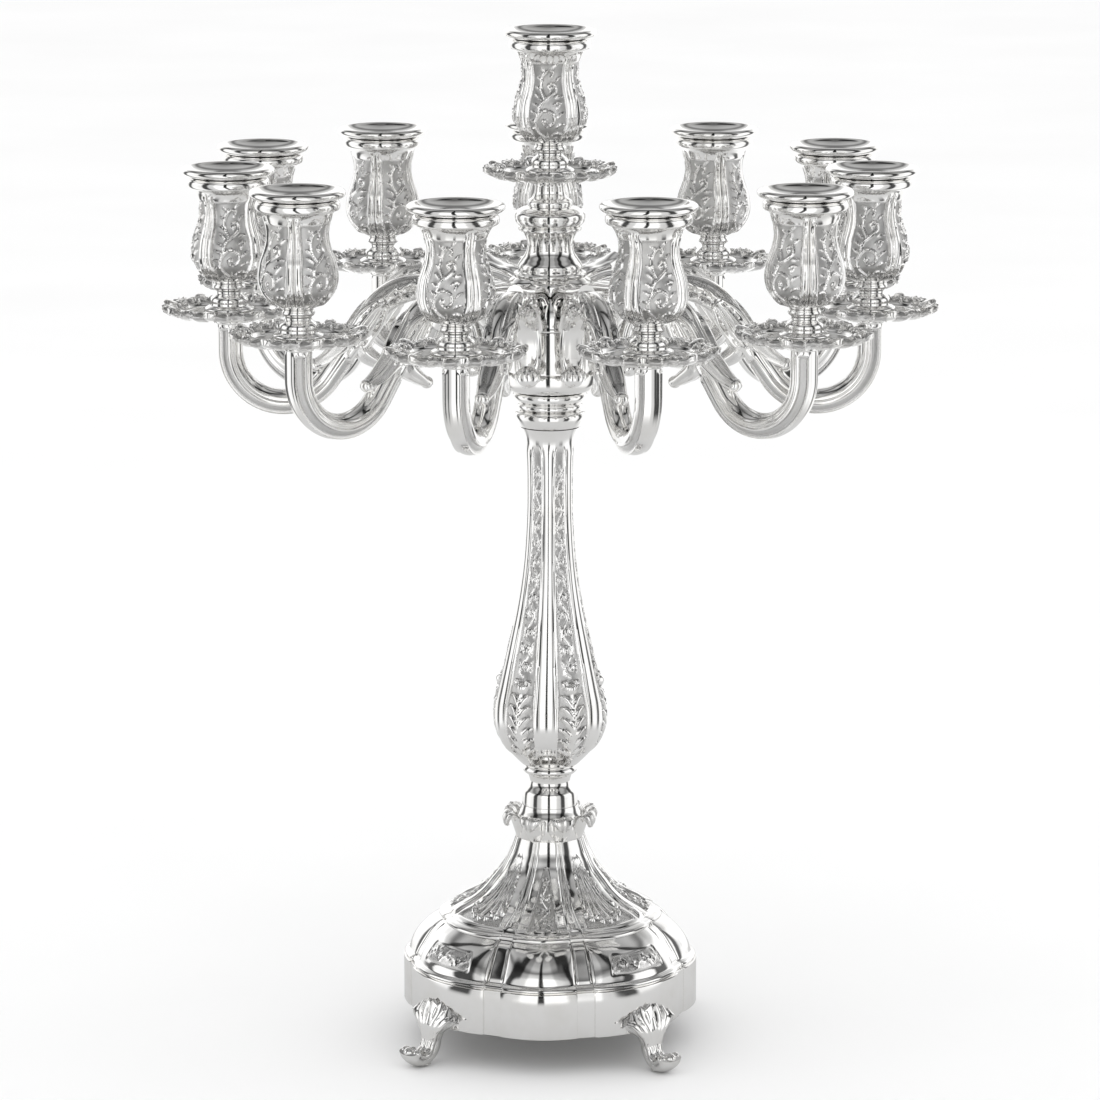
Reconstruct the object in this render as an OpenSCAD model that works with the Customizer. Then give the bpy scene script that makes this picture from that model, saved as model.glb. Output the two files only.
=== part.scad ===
// Candelabrum with one centre light over a turning ring of scroll arms.
// Millimetres, +Z up. The origin is on the floor under the stem's axis, -Y is the front.

/* [Base] */
// Radius over the crests of the base's plain lobes
base_r = 87; // [84:1:92]
// Height of the base band over the floor
foot_h = 22; // [20:1:30]
// Height of the upright band
band_h = 27; // [22:1:32]

/* [Stem] */
// Height of the baluster between its two end faces
baluster_h = 202.5; // [170:2.5:240]
// Radius of the threaded rod inside the stand
rod_r = 3; // [2:0.5:4]

/* [Branches] */
// Number of arms in the ring
arm_count = 11; // [5:1:11]
// Distance from the stem's axis to each arm's riser
ring_r = 186; // [176:1:200]
// Turn of the branch ring from the base's front, in degrees
ring_turn = 5; // [-15:0.5:15]
// Radius of the arm tube
tube_r = 7.5; // [6:0.25:8]

/* [Lights] */
// Inside radius of the candle socket
socket_r = 11.25; // [9:0.25:11.5]
// Depth of the candle socket
socket_depth = 34; // [26:1:36]
// Radius of the drip pan
pan_r = 38; // [36:0.5:42]

/* [Fits] */
// Running clearance between the bearing sleeve and the hub
turn_clearance = 0.05; // [0.02:0.01:0.1]
// Gap over and under the turning hub
hub_gap = 0.8; // [0.4:0.1:1.2]
// Gap round a lift-out nozzle
nozzle_gap = 0.3; // [0.2:0.05:0.5]

/* [Hidden] */
$fn = 96;

// Heights of the pieces from the floor up
shell_h = 73.5;
leaf_collar_h = 19.5;
knop_h = 24;
stem_collar_h = 21;
hub_h = 56.2;
finial_h = 66.2;
band_z = foot_h;
shell_z = band_z + band_h;
leaf_collar_z = shell_z + shell_h;
knop_z = leaf_collar_z + leaf_collar_h;
baluster_z = knop_z + knop_h;
stem_collar_z = baluster_z + baluster_h;
hub_z = stem_collar_z + stem_collar_h + hub_gap;
finial_z = hub_z + hub_h + hub_gap;
centre_pan_z = finial_z + finial_h;
ring_drop = 76;
ring_pan_z = centre_pan_z - ring_drop;

// Plan of the base: four plain lobes, four chased lobes and a facet between each pair
valley_r = base_r - 3;
plain_half = 15.5;
chased_half = 22.5;
chased_crest = base_r + 0.5;
shell_back = 1.5;
nut_seat = 60;
band_wall = 8;

// Bores
rod_hole = rod_r + 0.15;
sleeve_r = 7;
nozzle_r = socket_r + 1.75;

// Pan, cup and nozzle heights over the pan's underside
pan_t = 2.7;
cup_h = 78.3;
nozzle_h = 5.5;
spigot_h = 10;
rim_r = 27;
nozzle_tail = socket_depth + 3;

// Arm: two circles joined by their common inner tangent, then an upright riser
arch_r = 33;
arch_centre = [76, hub_z + 28.7];
bend_r = 31;
bend_centre = [ring_r - bend_r, ring_pan_z - 19.5];
root_lean = 20;
root_r = 6.5;
volute_r = 30.4;
volute_end = 200;
volute_tube = 4.2;
volute_ball = 6.5;
joint_bead = 0.8;

function centre_gap() = norm(bend_centre - arch_centre);
function centre_tilt() =
    atan2(bend_centre[1] - arch_centre[1], bend_centre[0] - arch_centre[0]);
tangent_slope = asin((arch_r + bend_r) / centre_gap()) - centre_tilt();
arch_exit = polar(arch_centre, arch_r, 90 - tangent_slope);
bend_entry = polar(bend_centre, -bend_r, 90 - tangent_slope);

function polar(centre, r, angle) = centre + r * [cos(angle), sin(angle)];
function two_digits(k) = k < 10 ? str("0", k) : str(k);
function arm_name(k) = str("arm_", two_digits(k));
function pan_name(k) = str("pan_", two_digits(k));
function cup_name(k) = str("cup_", two_digits(k));
function nozzle_name(k) = str("nozzle_", two_digits(k));
function arm_angle(k) = -90 + ring_turn + (k - 0.5) * 360 / arm_count;

// Smooth outline through [r, z] points, by Catmull-Rom with a few steps in each span
function blend(a, b, c, d, t) =
    0.5 * (2 * b + (c - a) * t + (2 * a - 5 * b + 4 * c - d) * t * t
           + (3 * b - a - 3 * c + d) * t * t * t);
function smooth(p, steps = 4) =
    let (last = len(p) - 1)
    concat([for (i = [0 : last - 1])
                for (s = [0 : steps - 1])
                    blend(p[max(i - 1, 0)], p[i], p[i + 1], p[min(i + 2, last)], s / steps)],
           [p[last]]);

// A turned piece: an outline from bottom to top, closed along a straight bore
module turned(outline, bore = rod_hole) {
    first = outline[0][1];
    top = outline[len(outline) - 1][1];
    rotate_extrude()
        polygon(concat([[bore, first]], outline, [[bore, top]]));
}

// Circle that gives a lobe its crest and meets the valley radius at its edge
function lobe_chord(half) = valley_r * sin(half);
function lobe_rise(crest, half) = crest - valley_r * cos(half);
function lobe_r(crest, half) =
    (pow(lobe_chord(half), 2) + pow(lobe_rise(crest, half), 2)) / (2 * lobe_rise(crest, half));

// Radius of a lobe's arc at an angle from the lobe's middle
function lobe_at(crest, half, angle) =
    let (own = lobe_r(crest, half), out = crest - own)
    out * cos(angle) + sqrt(own * own - pow(out * sin(angle), 2));

// Points of one lobe, centred on an angle
function lobe_points(crest, half, middle, steps, inset) =
    [for (i = [0 : steps])
        let (angle = half * (2 * i / steps - 1))
        (lobe_at(crest, half, angle) - inset) * [cos(middle + angle), sin(middle + angle)]];

// The base's plan as an upright prism, drawn in by an inset all round
module base_prism(h, inset = 0) {
    linear_extrude(h)
        polygon([for (q = [0 : 3])
                    for (p = concat(lobe_points(base_r, plain_half, 90 * q, 8, inset),
                                    lobe_points(chased_crest, chased_half, 90 * q + 45, 12, inset)))
                        p]);
}

module base_band() {
    color("silver")
        translate([0, 0, band_z])
            difference() {
                base_prism(band_h);
                translate([0, 0, -1])
                    cylinder(r = valley_r - band_wall, h = band_h + 2);
            }
}

// Outline of the shell from its foot: the dome as [distance inside the base radius, height],
// then the step moulding and the trumpet as [radius, height]
dome = smooth([[0.2, 0], [0.6, 2], [3, 3.5], [4.6, 9], [8, 15.5], [13, 21], [20, 25.5]], 3);
trumpet = smooth([[63.4, 27.6], [60, 29.6], [55, 33], [46, 37.3], [41, 41],
                  [34, 48], [28, 55.5], [24, 62.7], [21, 70], [19.8, 73.5]], 3);
// Hollow under the dome and the trumpet, up to the seat of the rod's nut
shell_void = [[0, -1], [77, -1], [76, 9], [73, 15], [67, 20.5], [60, 24.5], [54, 29], [48.5, 33],
              [40, 37], [35, 41], [28.5, 48], [23, 55], [18, nut_seat], [0, nut_seat]];

// The dome is cut to the base's plan, a little inside the band
module base_shell() {
    color("silver")
        translate([0, 0, shell_z])
            difference() {
                intersection() {
                    rotate_extrude()
                        polygon(concat([[0, 0]], [for (p = dome) [base_r - p[0], p[1]]],
                                       trumpet, [[0, shell_h]]));
                    translate([0, 0, -1])
                        base_prism(shell_h + 2, shell_back);
                }
                rotate_extrude()
                    polygon(shell_void);
                cylinder(r = rod_hole, h = shell_h + 1);
            }
}

// One scroll foot: a leaf crown on the band, a round leg and a toe that curls up
leg_r = 4.5;
toe_r = 8.5;
toe_z = 12;
toe_tip = 55;
module foot() {
    leg_x = chased_crest + 1;
    difference() {
        union() {
            translate([base_r - 6, 0, 0])
                rotate([90, 0, 90])
                    linear_extrude(10)
                        union() {
                            translate([0, foot_h + 8])
                                circle(r = 6.5);
                            for (side = [-1, 1]) {
                                translate([side * 9, foot_h + 6])
                                    circle(r = 5.5);
                                translate([side * 16, foot_h + 2.5])
                                    circle(r = 4.5);
                            }
                            polygon([[-18, foot_h + 1], [-5, foot_h - 7], [5, foot_h - 7],
                                     [18, foot_h + 1], [10, foot_h + 8], [-10, foot_h + 8]]);
                        }
            translate([leg_x, 0, toe_z])
                cylinder(r = leg_r, h = foot_h - toe_z + 3);
            translate([leg_x + toe_r, 0, toe_z])
                rotate([90, 0, 0])
                    rotate([0, 0, 180])
                        rotate_extrude(angle = 180 - toe_tip + 20)
                            translate([toe_r, 0])
                                circle(r = leg_r, $fn = 48);
            translate([leg_x + toe_r + toe_r * sin(toe_tip), 0, toe_z - toe_r * cos(toe_tip) + 1])
                rotate([90, 0, 0])
                    cylinder(r = leg_r, h = 13, center = true);
        }
        translate([0, -50, -50])
            cube([200, 100, 50]);
    }
}

module feet() {
    color("silver")
        for (q = [0 : 3])
            difference() {
                rotate(45 + 90 * q)
                    foot();
                translate([0, 0, band_z])
                    base_prism(band_h);
                cylinder(r = valley_r - band_wall, h = band_z + 1);
            }
}

leaf_count = 8;
module leaf_collar() {
    color("silver")
        translate([0, 0, leaf_collar_z])
            difference() {
                union() {
                    turned(smooth([[19.5, 0], [20, 4], [21.5, 9], [20.5, 14], [17, 18], [16.4, 19.5]]),
                           0);
                    for (i = [0 : leaf_count - 1])
                        rotate((i + 0.5) * 360 / leaf_count)
                            translate([18.2, 0, 10.5])
                                sphere(r = 6.2, $fn = 48);
                }
                translate([0, 0, -1])
                    cylinder(r = rod_hole, h = leaf_collar_h + 2);
            }
}

module lower_knop() {
    color("silver")
        translate([0, 0, knop_z])
            turned(smooth([[16.4, 0], [16, 3], [15.7, 7.5], [14, 10], [11.9, 13.5], [12.4, 17.5],
                           [15, 20.5], [15.6, 22.5], [15.6, knop_h]], 3));
}

// Baluster outline as [radius, share of the height]
baluster_outline = smooth([[15.8, 0], [20.4, 0.022], [27, 0.058], [31, 0.094], [32.9, 0.133],
                           [32.6, 0.19], [30, 0.249], [24.4, 0.368], [19.1, 0.487], [15.5, 0.606],
                           [13.7, 0.73], [13.4, 0.825], [13.7, 0.91], [14.9, 0.963], [17.8, 1]]);
baluster_void = smooth([[4, 0.03], [20, 0.07], [27, 0.13], [26, 0.23], [19, 0.37], [13.5, 0.5],
                        [10, 0.62], [8.5, 0.75], [8.5, 0.9], [4, 0.97]]);

function in_height(points) = [for (p = points) [p[0], p[1] * baluster_h]];

module baluster() {
    color("silver")
        translate([0, 0, baluster_z])
            difference() {
                turned(in_height(baluster_outline), 0);
                rotate_extrude()
                    polygon(concat([[0, 0.03 * baluster_h]], in_height(baluster_void),
                                   [[0, 0.97 * baluster_h]]));
                translate([0, 0, -1])
                    cylinder(r = rod_hole, h = baluster_h + 2);
            }
}

// Three rings, with the sleeve that the hub turns on standing up through the hub
module stem_collar() {
    sleeve_h = stem_collar_h + hub_h + 2 * hub_gap;
    color("silver")
        translate([0, 0, stem_collar_z])
            turned(concat(smooth([[17.8, 0], [19.8, 3.4], [20.9, 6.9], [20.4, 8.7], [17.4, 10.2]], 3),
                          smooth([[17.4, 10.3], [19, 11.5], [19, 13.4], [17.2, 14.8]], 3),
                          smooth([[18, 15.4], [21.4, 17.2], [21.9, 19.4], [21.4, stem_collar_h]], 3),
                          [[sleeve_r, stem_collar_h], [sleeve_r, sleeve_h]]));
}

module tie_rod() {
    low = shell_z + nut_seat - 8;
    color("dimgray")
        translate([0, 0, low])
            cylinder(r = rod_r, h = centre_pan_z + pan_t + spigot_h - low);
}

module rod_nut() {
    nut_h = 6;
    color("dimgray")
        translate([0, 0, shell_z + nut_seat - nut_h])
            difference() {
                union() {
                    cylinder(r = 6.2, h = nut_h, $fn = 6);
                    translate([0, 0, nut_h - 1.5])
                        cylinder(r = 9, h = 1.5);
                }
                translate([0, 0, -1])
                    cylinder(r = rod_hole, h = nut_h + 2);
            }
}

// Hub outline from its foot to its top, shared by its three pieces and the arms' roots
hub_bore = sleeve_r + turn_clearance;
drum_low = 11.7;
drum_high = 37.7;
drum_r = 28.6;
bowl_outline = smooth([[22.5, 0], [25.8, 0.8], [28.4, 4], [29.6, 8], [29.6, drum_low]], 3);
cap_outline = smooth([[drum_r, drum_high], [27.6, 44], [25, 50], [22.3, hub_h]], 3);

module hub_bowl() {
    color("silver")
        translate([0, 0, hub_z])
            turned(bowl_outline, hub_bore + 0.5);
}

module hub_drum() {
    color("silver")
        translate([0, 0, hub_z])
            turned([[drum_r, drum_low], [drum_r, drum_high]], hub_bore);
}

module hub_cap() {
    color("silver")
        translate([0, 0, hub_z])
            turned(cap_outline, hub_bore + 0.5);
}

// Everything inside the hub's skin, which the arms' roots are cut back to
module hub_outside() {
    translate([0, 0, hub_z])
        turned(concat(bowl_outline, [[drum_r, drum_low]], cap_outline), 0);
}

module finial() {
    color("silver")
        translate([0, 0, finial_z])
            turned(concat(smooth([[22, 0], [23.9, 2.6], [24.3, 6.2], [21.4, 9.4], [18.2, 11.4]], 3),
                          smooth([[18.5, 12], [18.5, 16.2], [16.2, 19.8], [13.9, 23.3], [13, 27.4],
                                  [13.9, 31.5], [15.6, 34.4], [18.2, 36.6]], 3),
                          smooth([[18.2, 39], [19.4, 41], [20.1, 44.5], [19, 47.8], [13.9, 50]], 3),
                          smooth([[12.5, 51.6], [12.1, 55], [9, 58], [8.6, 62], [11, finial_h]], 3)));
}

// Pan, cup and nozzle are drawn on the axis, over the pan's underside
module pan() {
    color("silver")
        turned(concat([[9, 0], [20, 0.6]],
                      smooth([[29, 1.6], [35, 3.4], [pan_r, 5.2], [pan_r, 6.2], [36, 6], [31, 4.2],
                              [27, 3.2]], 3),
                      [[14, pan_t]]));
}

cup_outline = smooth([[13.5, 0], [13.2, 3], [11.2, 4.6], [10.4, 8.6], [7.6, 12], [8.8, 14.8],
                      [8.4, 16.8], [15.5, 21.6], [19.4, 26.4], [21.2, 31], [21.6, 36],
                      [20.6, 42.6], [19, 47.2], [17.5, 51.8], [16.6, 56.4], [16.4, 60],
                      [17.4, 65.4], [19, 69.6], [20.9, 72.5]], 3);

module cup() {
    color("silver")
        translate([0, 0, pan_t])
            difference() {
                turned(concat(cup_outline, [[23.4, 74.6], [23.4, cup_h]]), 0);
                translate([0, 0, -1])
                    cylinder(r = rod_r + 0.1, h = spigot_h + 2);
                translate([0, 0, cup_h - nozzle_tail - nozzle_gap])
                    cylinder(r = nozzle_r + nozzle_gap, h = nozzle_tail + 2);
            }
}

// Lift-out nozzle: a rolled flange over a straight candle socket
module nozzle() {
    under = nozzle_gap;
    floor_z = under - nozzle_tail + 2;
    color("silver")
        translate([0, 0, pan_t + cup_h])
            difference() {
                rotate_extrude()
                    polygon(concat([[0, under - nozzle_tail], [nozzle_r, under - nozzle_tail],
                                    [nozzle_r, under]],
                                   smooth([[22, under], [25.4, 1.1], [rim_r, 2.8], [26.5, 4.6],
                                           [25, nozzle_h], [23.3, 5.1], [21.5, 3.7], [18, 2.4],
                                           [socket_r + 1.2, 1]], 3),
                                   [[socket_r, floor_z + socket_depth], [0, floor_z + socket_depth]]));
                translate([0, 0, floor_z])
                    cylinder(r = socket_r, h = socket_depth + 8);
            }
}

// Round bar between two points of the arm's own plane
module bar(from, to, r) {
    run = to - from;
    translate([from[0], 0, from[1]])
        rotate([0, atan2(run[0], run[1]), 0])
            cylinder(r = r, h = norm(run));
}

// Round bar bent about a centre in the arm's own plane, from one angle to another
module bent_bar(centre, r, from, to, bar_r) {
    translate([centre[0], 0, centre[1]])
        rotate([90, 0, 0])
            rotate(from)
                rotate_extrude(angle = to - from)
                    translate([r, 0])
                        circle(r = bar_r, $fn = 48);
}

module knob(at, r) {
    translate([at[0], 0, at[1]])
        sphere(r = r, $fn = 48);
}

module arm_shape() {
    root_top = polar(arch_centre, arch_r, 90 + root_lean);
    root_run = root_top[0] - drum_r + 8;
    root_start = root_top - root_run * [1, tan(root_lean)];
    volute_tip = polar(arch_centre, volute_r, volute_end);
    inner_spur_tip = arch_exit + [-10, -33];
    outer_spur_tip = arch_exit + [36, -29.5];
    difference() {
        union() {
            bar(root_start, root_top, root_r);
            bent_bar(arch_centre, arch_r, 90 - tangent_slope, 90 + root_lean, tube_r);
            bar(arch_exit, bend_entry, tube_r);
            bent_bar(bend_centre, bend_r, 270 - tangent_slope, 360, tube_r);
            bar([ring_r, bend_centre[1]], [ring_r, ring_pan_z], tube_r);
            bar([ring_r, ring_pan_z - 1], [ring_r, ring_pan_z + pan_t + spigot_h], rod_r);
            bent_bar(arch_centre, volute_r, 80 + root_lean, volute_end, volute_tube);
            knob(volute_tip, volute_ball);
            // Beads over the places where the bars and bends meet
            for (joint = [root_top, arch_exit, bend_entry, [ring_r, bend_centre[1]]])
                knob(joint, tube_r + joint_bead);
            // Spur that curls in towards the stem
            bar(arch_exit + [10, -22], inner_spur_tip, 3.6);
            knob(inner_spur_tip, 4.2);
            // Spur that curls out over the bend
            bar(arch_exit + [14, -20], outer_spur_tip - [2, 0.5], 4);
            knob(outer_spur_tip, 5.2);
        }
        hub_outside();
    }
}

module arm(k) {
    color("silver")
        rotate(arm_angle(k))
            arm_shape();
}

module at_arm(k) {
    rotate(arm_angle(k))
        translate([ring_r, 0, ring_pan_z])
            children();
}

module at_centre() {
    translate([0, 0, centre_pan_z])
        children();
}

base_band();
base_shell();
feet();
leaf_collar();
lower_knop();
baluster();
stem_collar();
tie_rod();
rod_nut();
hub_bowl();
hub_drum();
hub_cap();
finial();
at_centre() pan();  // pan_centre
at_centre() cup();  // cup_centre
at_centre() nozzle();  // nozzle_centre
for (k = [1 : arm_count]) {
    arm(k);
    at_arm(k) pan();
    at_arm(k) cup();
    at_arm(k) nozzle();
}
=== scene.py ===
"""Silver candelabrum: one centre light over a turning ring of scroll arms.

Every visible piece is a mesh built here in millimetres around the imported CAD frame.
Chased ornament is real relief: each surface is moved along its normal by ridges
drawn along short curves.
"""

import math

import bpy
import numpy as np
from mathutils import Matrix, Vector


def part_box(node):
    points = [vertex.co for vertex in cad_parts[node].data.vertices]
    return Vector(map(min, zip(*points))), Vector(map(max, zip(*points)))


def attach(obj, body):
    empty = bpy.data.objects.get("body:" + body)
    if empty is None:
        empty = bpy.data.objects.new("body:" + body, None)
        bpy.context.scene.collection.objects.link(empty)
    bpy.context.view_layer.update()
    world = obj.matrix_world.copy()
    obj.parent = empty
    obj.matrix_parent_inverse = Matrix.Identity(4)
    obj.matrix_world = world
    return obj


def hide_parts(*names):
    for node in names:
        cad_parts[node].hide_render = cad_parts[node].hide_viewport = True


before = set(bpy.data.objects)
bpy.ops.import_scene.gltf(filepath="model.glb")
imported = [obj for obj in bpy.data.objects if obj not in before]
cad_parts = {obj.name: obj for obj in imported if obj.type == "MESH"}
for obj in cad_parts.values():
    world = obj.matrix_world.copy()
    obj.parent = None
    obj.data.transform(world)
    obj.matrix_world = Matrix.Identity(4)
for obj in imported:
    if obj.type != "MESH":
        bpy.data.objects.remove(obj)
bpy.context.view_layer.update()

MM = 0.001


def low_mm(node):
    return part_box(node)[0].z / MM


def high_mm(node):
    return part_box(node)[1].z / MM


# ---------------------------------------------------------------- curves

def smooth_line(points, steps=6):
    """Catmull-Rom curve through the points."""
    p = np.asarray(points, float)
    q = np.vstack([p[:1], p, p[-1:]])
    t = np.linspace(0, 1, steps, endpoint=False)[:, None]
    out = []
    for a, b, c, d in zip(q[:-3], q[1:-2], q[2:-1], q[3:]):
        out.append(0.5 * (2 * b + (c - a) * t + (2 * a - 5 * b + 4 * c - d) * t ** 2
                          + (3 * b - a - 3 * c + d) * t ** 3))
    return np.vstack(out + [p[-1:]])


def distance_along(line):
    """Distance from the line's start to each of its points."""
    step = np.diff(np.asarray(line, float)[:, :2], axis=0)
    return np.concatenate([[0], np.cumsum(np.hypot(step[:, 0], step[:, 1]))])


def even_line(points, spacing):
    """The same line with points at an even spacing."""
    p = np.asarray(points, float)
    s = distance_along(p)
    n = max(2, int(round(s[-1] / spacing)) + 1)
    at = np.linspace(0, s[-1], n)
    return np.column_stack([np.interp(at, s, p[:, k]) for k in range(p.shape[1])])


def rounded(points, radius=0.35):
    """A profile whose corners are cut back and rounded a little."""
    p = np.asarray(points, float)
    out = [p[0]]
    for a, b, c in zip(p[:-2], p[1:-1], p[2:]):
        u, v = a - b, c - b
        lu, lv = np.hypot(*u), np.hypot(*v)
        if lu < 1e-6 or lv < 1e-6:
            continue
        cut = min(radius, 0.4 * lu, 0.4 * lv)
        start, end = b + u / lu * cut, b + v / lv * cut
        out += [start, 0.25 * start + 0.5 * b + 0.25 * end, end]
    return np.vstack(out + [p[-1]])


def spiral(cx, cy, r, start, turns, keep=0.25, n=22):
    """Line that winds in from radius r; turns is negative for clockwise."""
    t = np.linspace(0, 1, n)
    a = np.radians(start) + t * turns * 2 * math.pi
    rad = r * (1 - (1 - keep) * t)
    return np.column_stack([cx + rad * np.cos(a), cy + rad * np.sin(a)])


def hook(x, y, angle, length, bend, n=7):
    """Short curved line from a point, turning by bend degrees on its way."""
    t = np.linspace(0, 1, n)
    a = np.radians(angle) + np.radians(bend) * t
    step = length / (n - 1)
    dx, dy = np.cos(a) * step, np.sin(a) * step
    return np.column_stack([x + np.concatenate([[0], np.cumsum(dx[:-1])]),
                            y + np.concatenate([[0], np.cumsum(dy[:-1])])])


# ---------------------------------------------------------------- relief

# A stroke's foot reaches this many half widths out, and its back is this rounded
FOOT_REACH, BACK = 1.25, 0.8
# Share of the height that the thinnest part of a stroke keeps
THIN_HEIGHT = 0.55


def stroke(line, start, middle, end, height):
    """A ridge along a line, with its half width at start, middle and end."""
    return np.asarray(line, float), start, middle, end, height


def ball(x, y, r, height):
    return stroke([[x, y], [x + 0.01, y]], r, r, r, height)


def raise_strokes(x, y, strokes):
    """Height of the highest stroke over each point."""
    field = np.zeros(x.shape)
    for line, start, middle, end, height in strokes:
        widest = max(start, middle, end)
        lo, hi = line.min(0) - FOOT_REACH * widest, line.max(0) + FOOT_REACH * widest
        near = (x > lo[0]) & (x < hi[0]) & (y > lo[1]) & (y < hi[1])
        if not near.any():
            continue
        px, py = x[near], y[near]
        best = np.zeros(px.shape)
        along = np.linspace(0, 1, len(line))
        width = np.interp(along, [0, 0.45, 1], [start, middle, end])
        for k in range(len(line) - 1):
            d = line[k + 1] - line[k]
            t = np.clip(((px - line[k, 0]) * d[0] + (py - line[k, 1]) * d[1])
                        / max(d @ d, 1e-9), 0, 1)
            off = np.hypot(px - line[k, 0] - t * d[0], py - line[k, 1] - t * d[1])
            w = width[k] + t * (width[k + 1] - width[k])
            rise = np.clip(1 - (off / (FOOT_REACH * w)) ** 2, 0, 1) ** BACK
            best = np.maximum(best, rise * (THIN_HEIGHT + (1 - THIN_HEIGHT) * w / widest))
        field[near] = np.maximum(field[near], best * height)
    return field


def bare(relief, depth):
    """1 where no stroke rises, 0 where one rises by depth or more."""
    return 1 - np.clip(relief / depth, 0, 1)


def vine(y0, y1, half_width, pitch, height):
    """Running scroll along y: a swaying stem, a scroll in each bay and leaves opposite."""
    bays = max(1, int(round((y1 - y0) / pitch)))
    bay = (y1 - y0) / bays
    out, stem = [], [[0, y0]]
    for k in range(bays):
        y = y0 + (k + 0.5) * bay
        side = 1 if k % 2 == 0 else -1
        room = max(half_width(y), 0.6)
        r = min(0.52 * room, 0.36 * bay)
        stem.append([-side * 0.5 * room, y])
        cx = side * 0.22 * room
        start = 200 if side > 0 else -20
        turn = -1.25 if side > 0 else 1.25
        out.append(stroke(spiral(cx, y + 0.05 * bay, r, start, turn), 0.45, 0.6, 0.4, height))
        out.append(ball(cx, y + 0.05 * bay, 0.5, height))
        for j in range(3):
            yy = y - 0.34 * bay + 0.26 * bay * j
            away = 180 if side > 0 else 0
            out.append(stroke(hook(-side * 0.5 * room, yy, away - side * 50, 0.6 * room,
                                   -side * 35), 0.35, 0.6, 0.25, height * 0.85))
            out.append(stroke(hook(cx + side * r * 0.8, yy + 0.1 * bay, 90 - side * 55,
                                   0.5 * room, side * 40), 0.35, 0.55, 0.25, height * 0.8))
    stem.append([0, y1])
    out.append(stroke(smooth_line(stem, 5), 0.55, 0.55, 0.3, height))
    return out


def ramp(value, low, high):
    """0 under low, 1 over high, smooth between."""
    t = np.clip((value - low) / (high - low), 0, 1)
    return t * t * (3 - 2 * t)


def peak(off, width):
    """1 where off is 0, falling away over about the width on both sides."""
    return np.exp(-(off / width) ** 2)


def inside_band(value, half, edge):
    """1 where |value| < half, falling to 0 over edge."""
    return 1 - ramp(np.abs(value), half - edge, half)


# ---------------------------------------------------------------- meshes

class Shell:
    """Vertices in millimetres, quads, triangles and how matted each vertex is, which also sets the
    painted shade there.
    """

    def __init__(self, verts, quads, tris, ground=None):
        self.verts = np.asarray(verts, float)
        self.quads = np.asarray(quads, int).reshape(-1, 4)
        self.tris = np.asarray(tris, int).reshape(-1, 3)
        self.ground = np.zeros(len(self.verts)) if ground is None else np.asarray(ground, float)


def ring_quads(bands, cols):
    """Quads of the bands between each ring of points and the next."""
    i, j = np.meshgrid(np.arange(bands), np.arange(cols), indexing="ij")
    a, b = (i * cols + j).ravel(), (i * cols + (j + 1) % cols).ravel()
    return np.column_stack([a, b, b + cols, a + cols])


def tube_shell(rings, ground=None):
    """Closed skin over a stack of rings, each end closed by a fan."""
    rows, cols, _ = rings.shape
    quads = ring_quads(rows - 1, cols)
    first, last = rows * cols, rows * cols + 1
    c = np.arange(cols)
    n = (c + 1) % cols
    top = (rows - 1) * cols
    tris = np.vstack([np.column_stack([n, c, np.full(cols, first)]),
                      np.column_stack([top + c, top + n, np.full(cols, last)])])
    verts = np.vstack([rings.reshape(-1, 3), rings[0].mean(0), rings[-1].mean(0)])
    if ground is not None:
        ground = np.concatenate([ground.ravel(), [0, 0]])
    return Shell(verts, quads, tris, ground)


def loop_shell(rings):
    """Skin of a stack of rings whose last ring meets its first, as on a hoop."""
    rows, cols, _ = rings.shape
    quads = ring_quads(rows, cols) % (rows * cols)
    return Shell(rings.reshape(-1, 3), quads, np.zeros((0, 3), int))


def joined(shells):
    verts, quads, tris, ground, base = [], [], [], [], 0
    for s in shells:
        verts.append(s.verts)
        quads.append(s.quads + base)
        tris.append(s.tris + base)
        ground.append(s.ground)
        base += len(s.verts)
    return Shell(np.vstack(verts), np.vstack(quads), np.vstack(tris), np.concatenate(ground))


def turned_copy(shell, degrees):
    """The shell turned about the upright axis."""
    a = math.radians(degrees)
    turn = np.array([[math.cos(a), -math.sin(a), 0], [math.sin(a), math.cos(a), 0], [0, 0, 1]])
    return Shell(shell.verts @ turn.T, shell.quads, shell.tris, shell.ground)


def moved(shell, x=0, y=0, z=0):
    return Shell(shell.verts + [x, y, z], shell.quads, shell.tris, shell.ground)


def mesh_of(name, shell, material, sharp=38):
    mesh = bpy.data.meshes.new(name)
    nq, nt = len(shell.quads), len(shell.tris)
    mesh.vertices.add(len(shell.verts))
    mesh.vertices.foreach_set("co", (shell.verts * MM).astype(np.float32).ravel())
    mesh.loops.add(nq * 4 + nt * 3)
    mesh.loops.foreach_set("vertex_index", np.concatenate(
        [shell.quads.ravel(), shell.tris.ravel()]).astype(np.int32))
    mesh.polygons.add(nq + nt)
    starts = np.concatenate([np.arange(nq) * 4, nq * 4 + np.arange(nt) * 3])
    mesh.polygons.foreach_set("loop_start", starts.astype(np.int32))
    mesh.update(calc_edges=True)
    mesh.validate()
    mesh.shade_smooth()
    mesh.set_sharp_from_angle(angle=math.radians(sharp))
    # The ground attribute carries both the matting and the painted shade that the material draws
    # from it
    matting_and_shade = mesh.attributes.new("ground", "FLOAT", "POINT")
    matting_and_shade.data.foreach_set("value", shell.ground.astype(np.float32))
    mesh.materials.append(material)
    return mesh


def linked(name, data):
    """A new object of the scene."""
    o = bpy.data.objects.new(name, data)
    bpy.context.scene.collection.objects.link(o)
    return o


def place(name, mesh, body, nodes, turn=0.0, at=(0, 0, 0)):
    """An object of the mesh that stands for the named CAD nodes and rides on a body."""
    o = linked(name, mesh)
    o.matrix_world = (Matrix.Translation([v * MM for v in at])
                      @ Matrix.Rotation(math.radians(turn), 4, "Z"))
    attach(o, body)
    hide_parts(*nodes)
    return o


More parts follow.
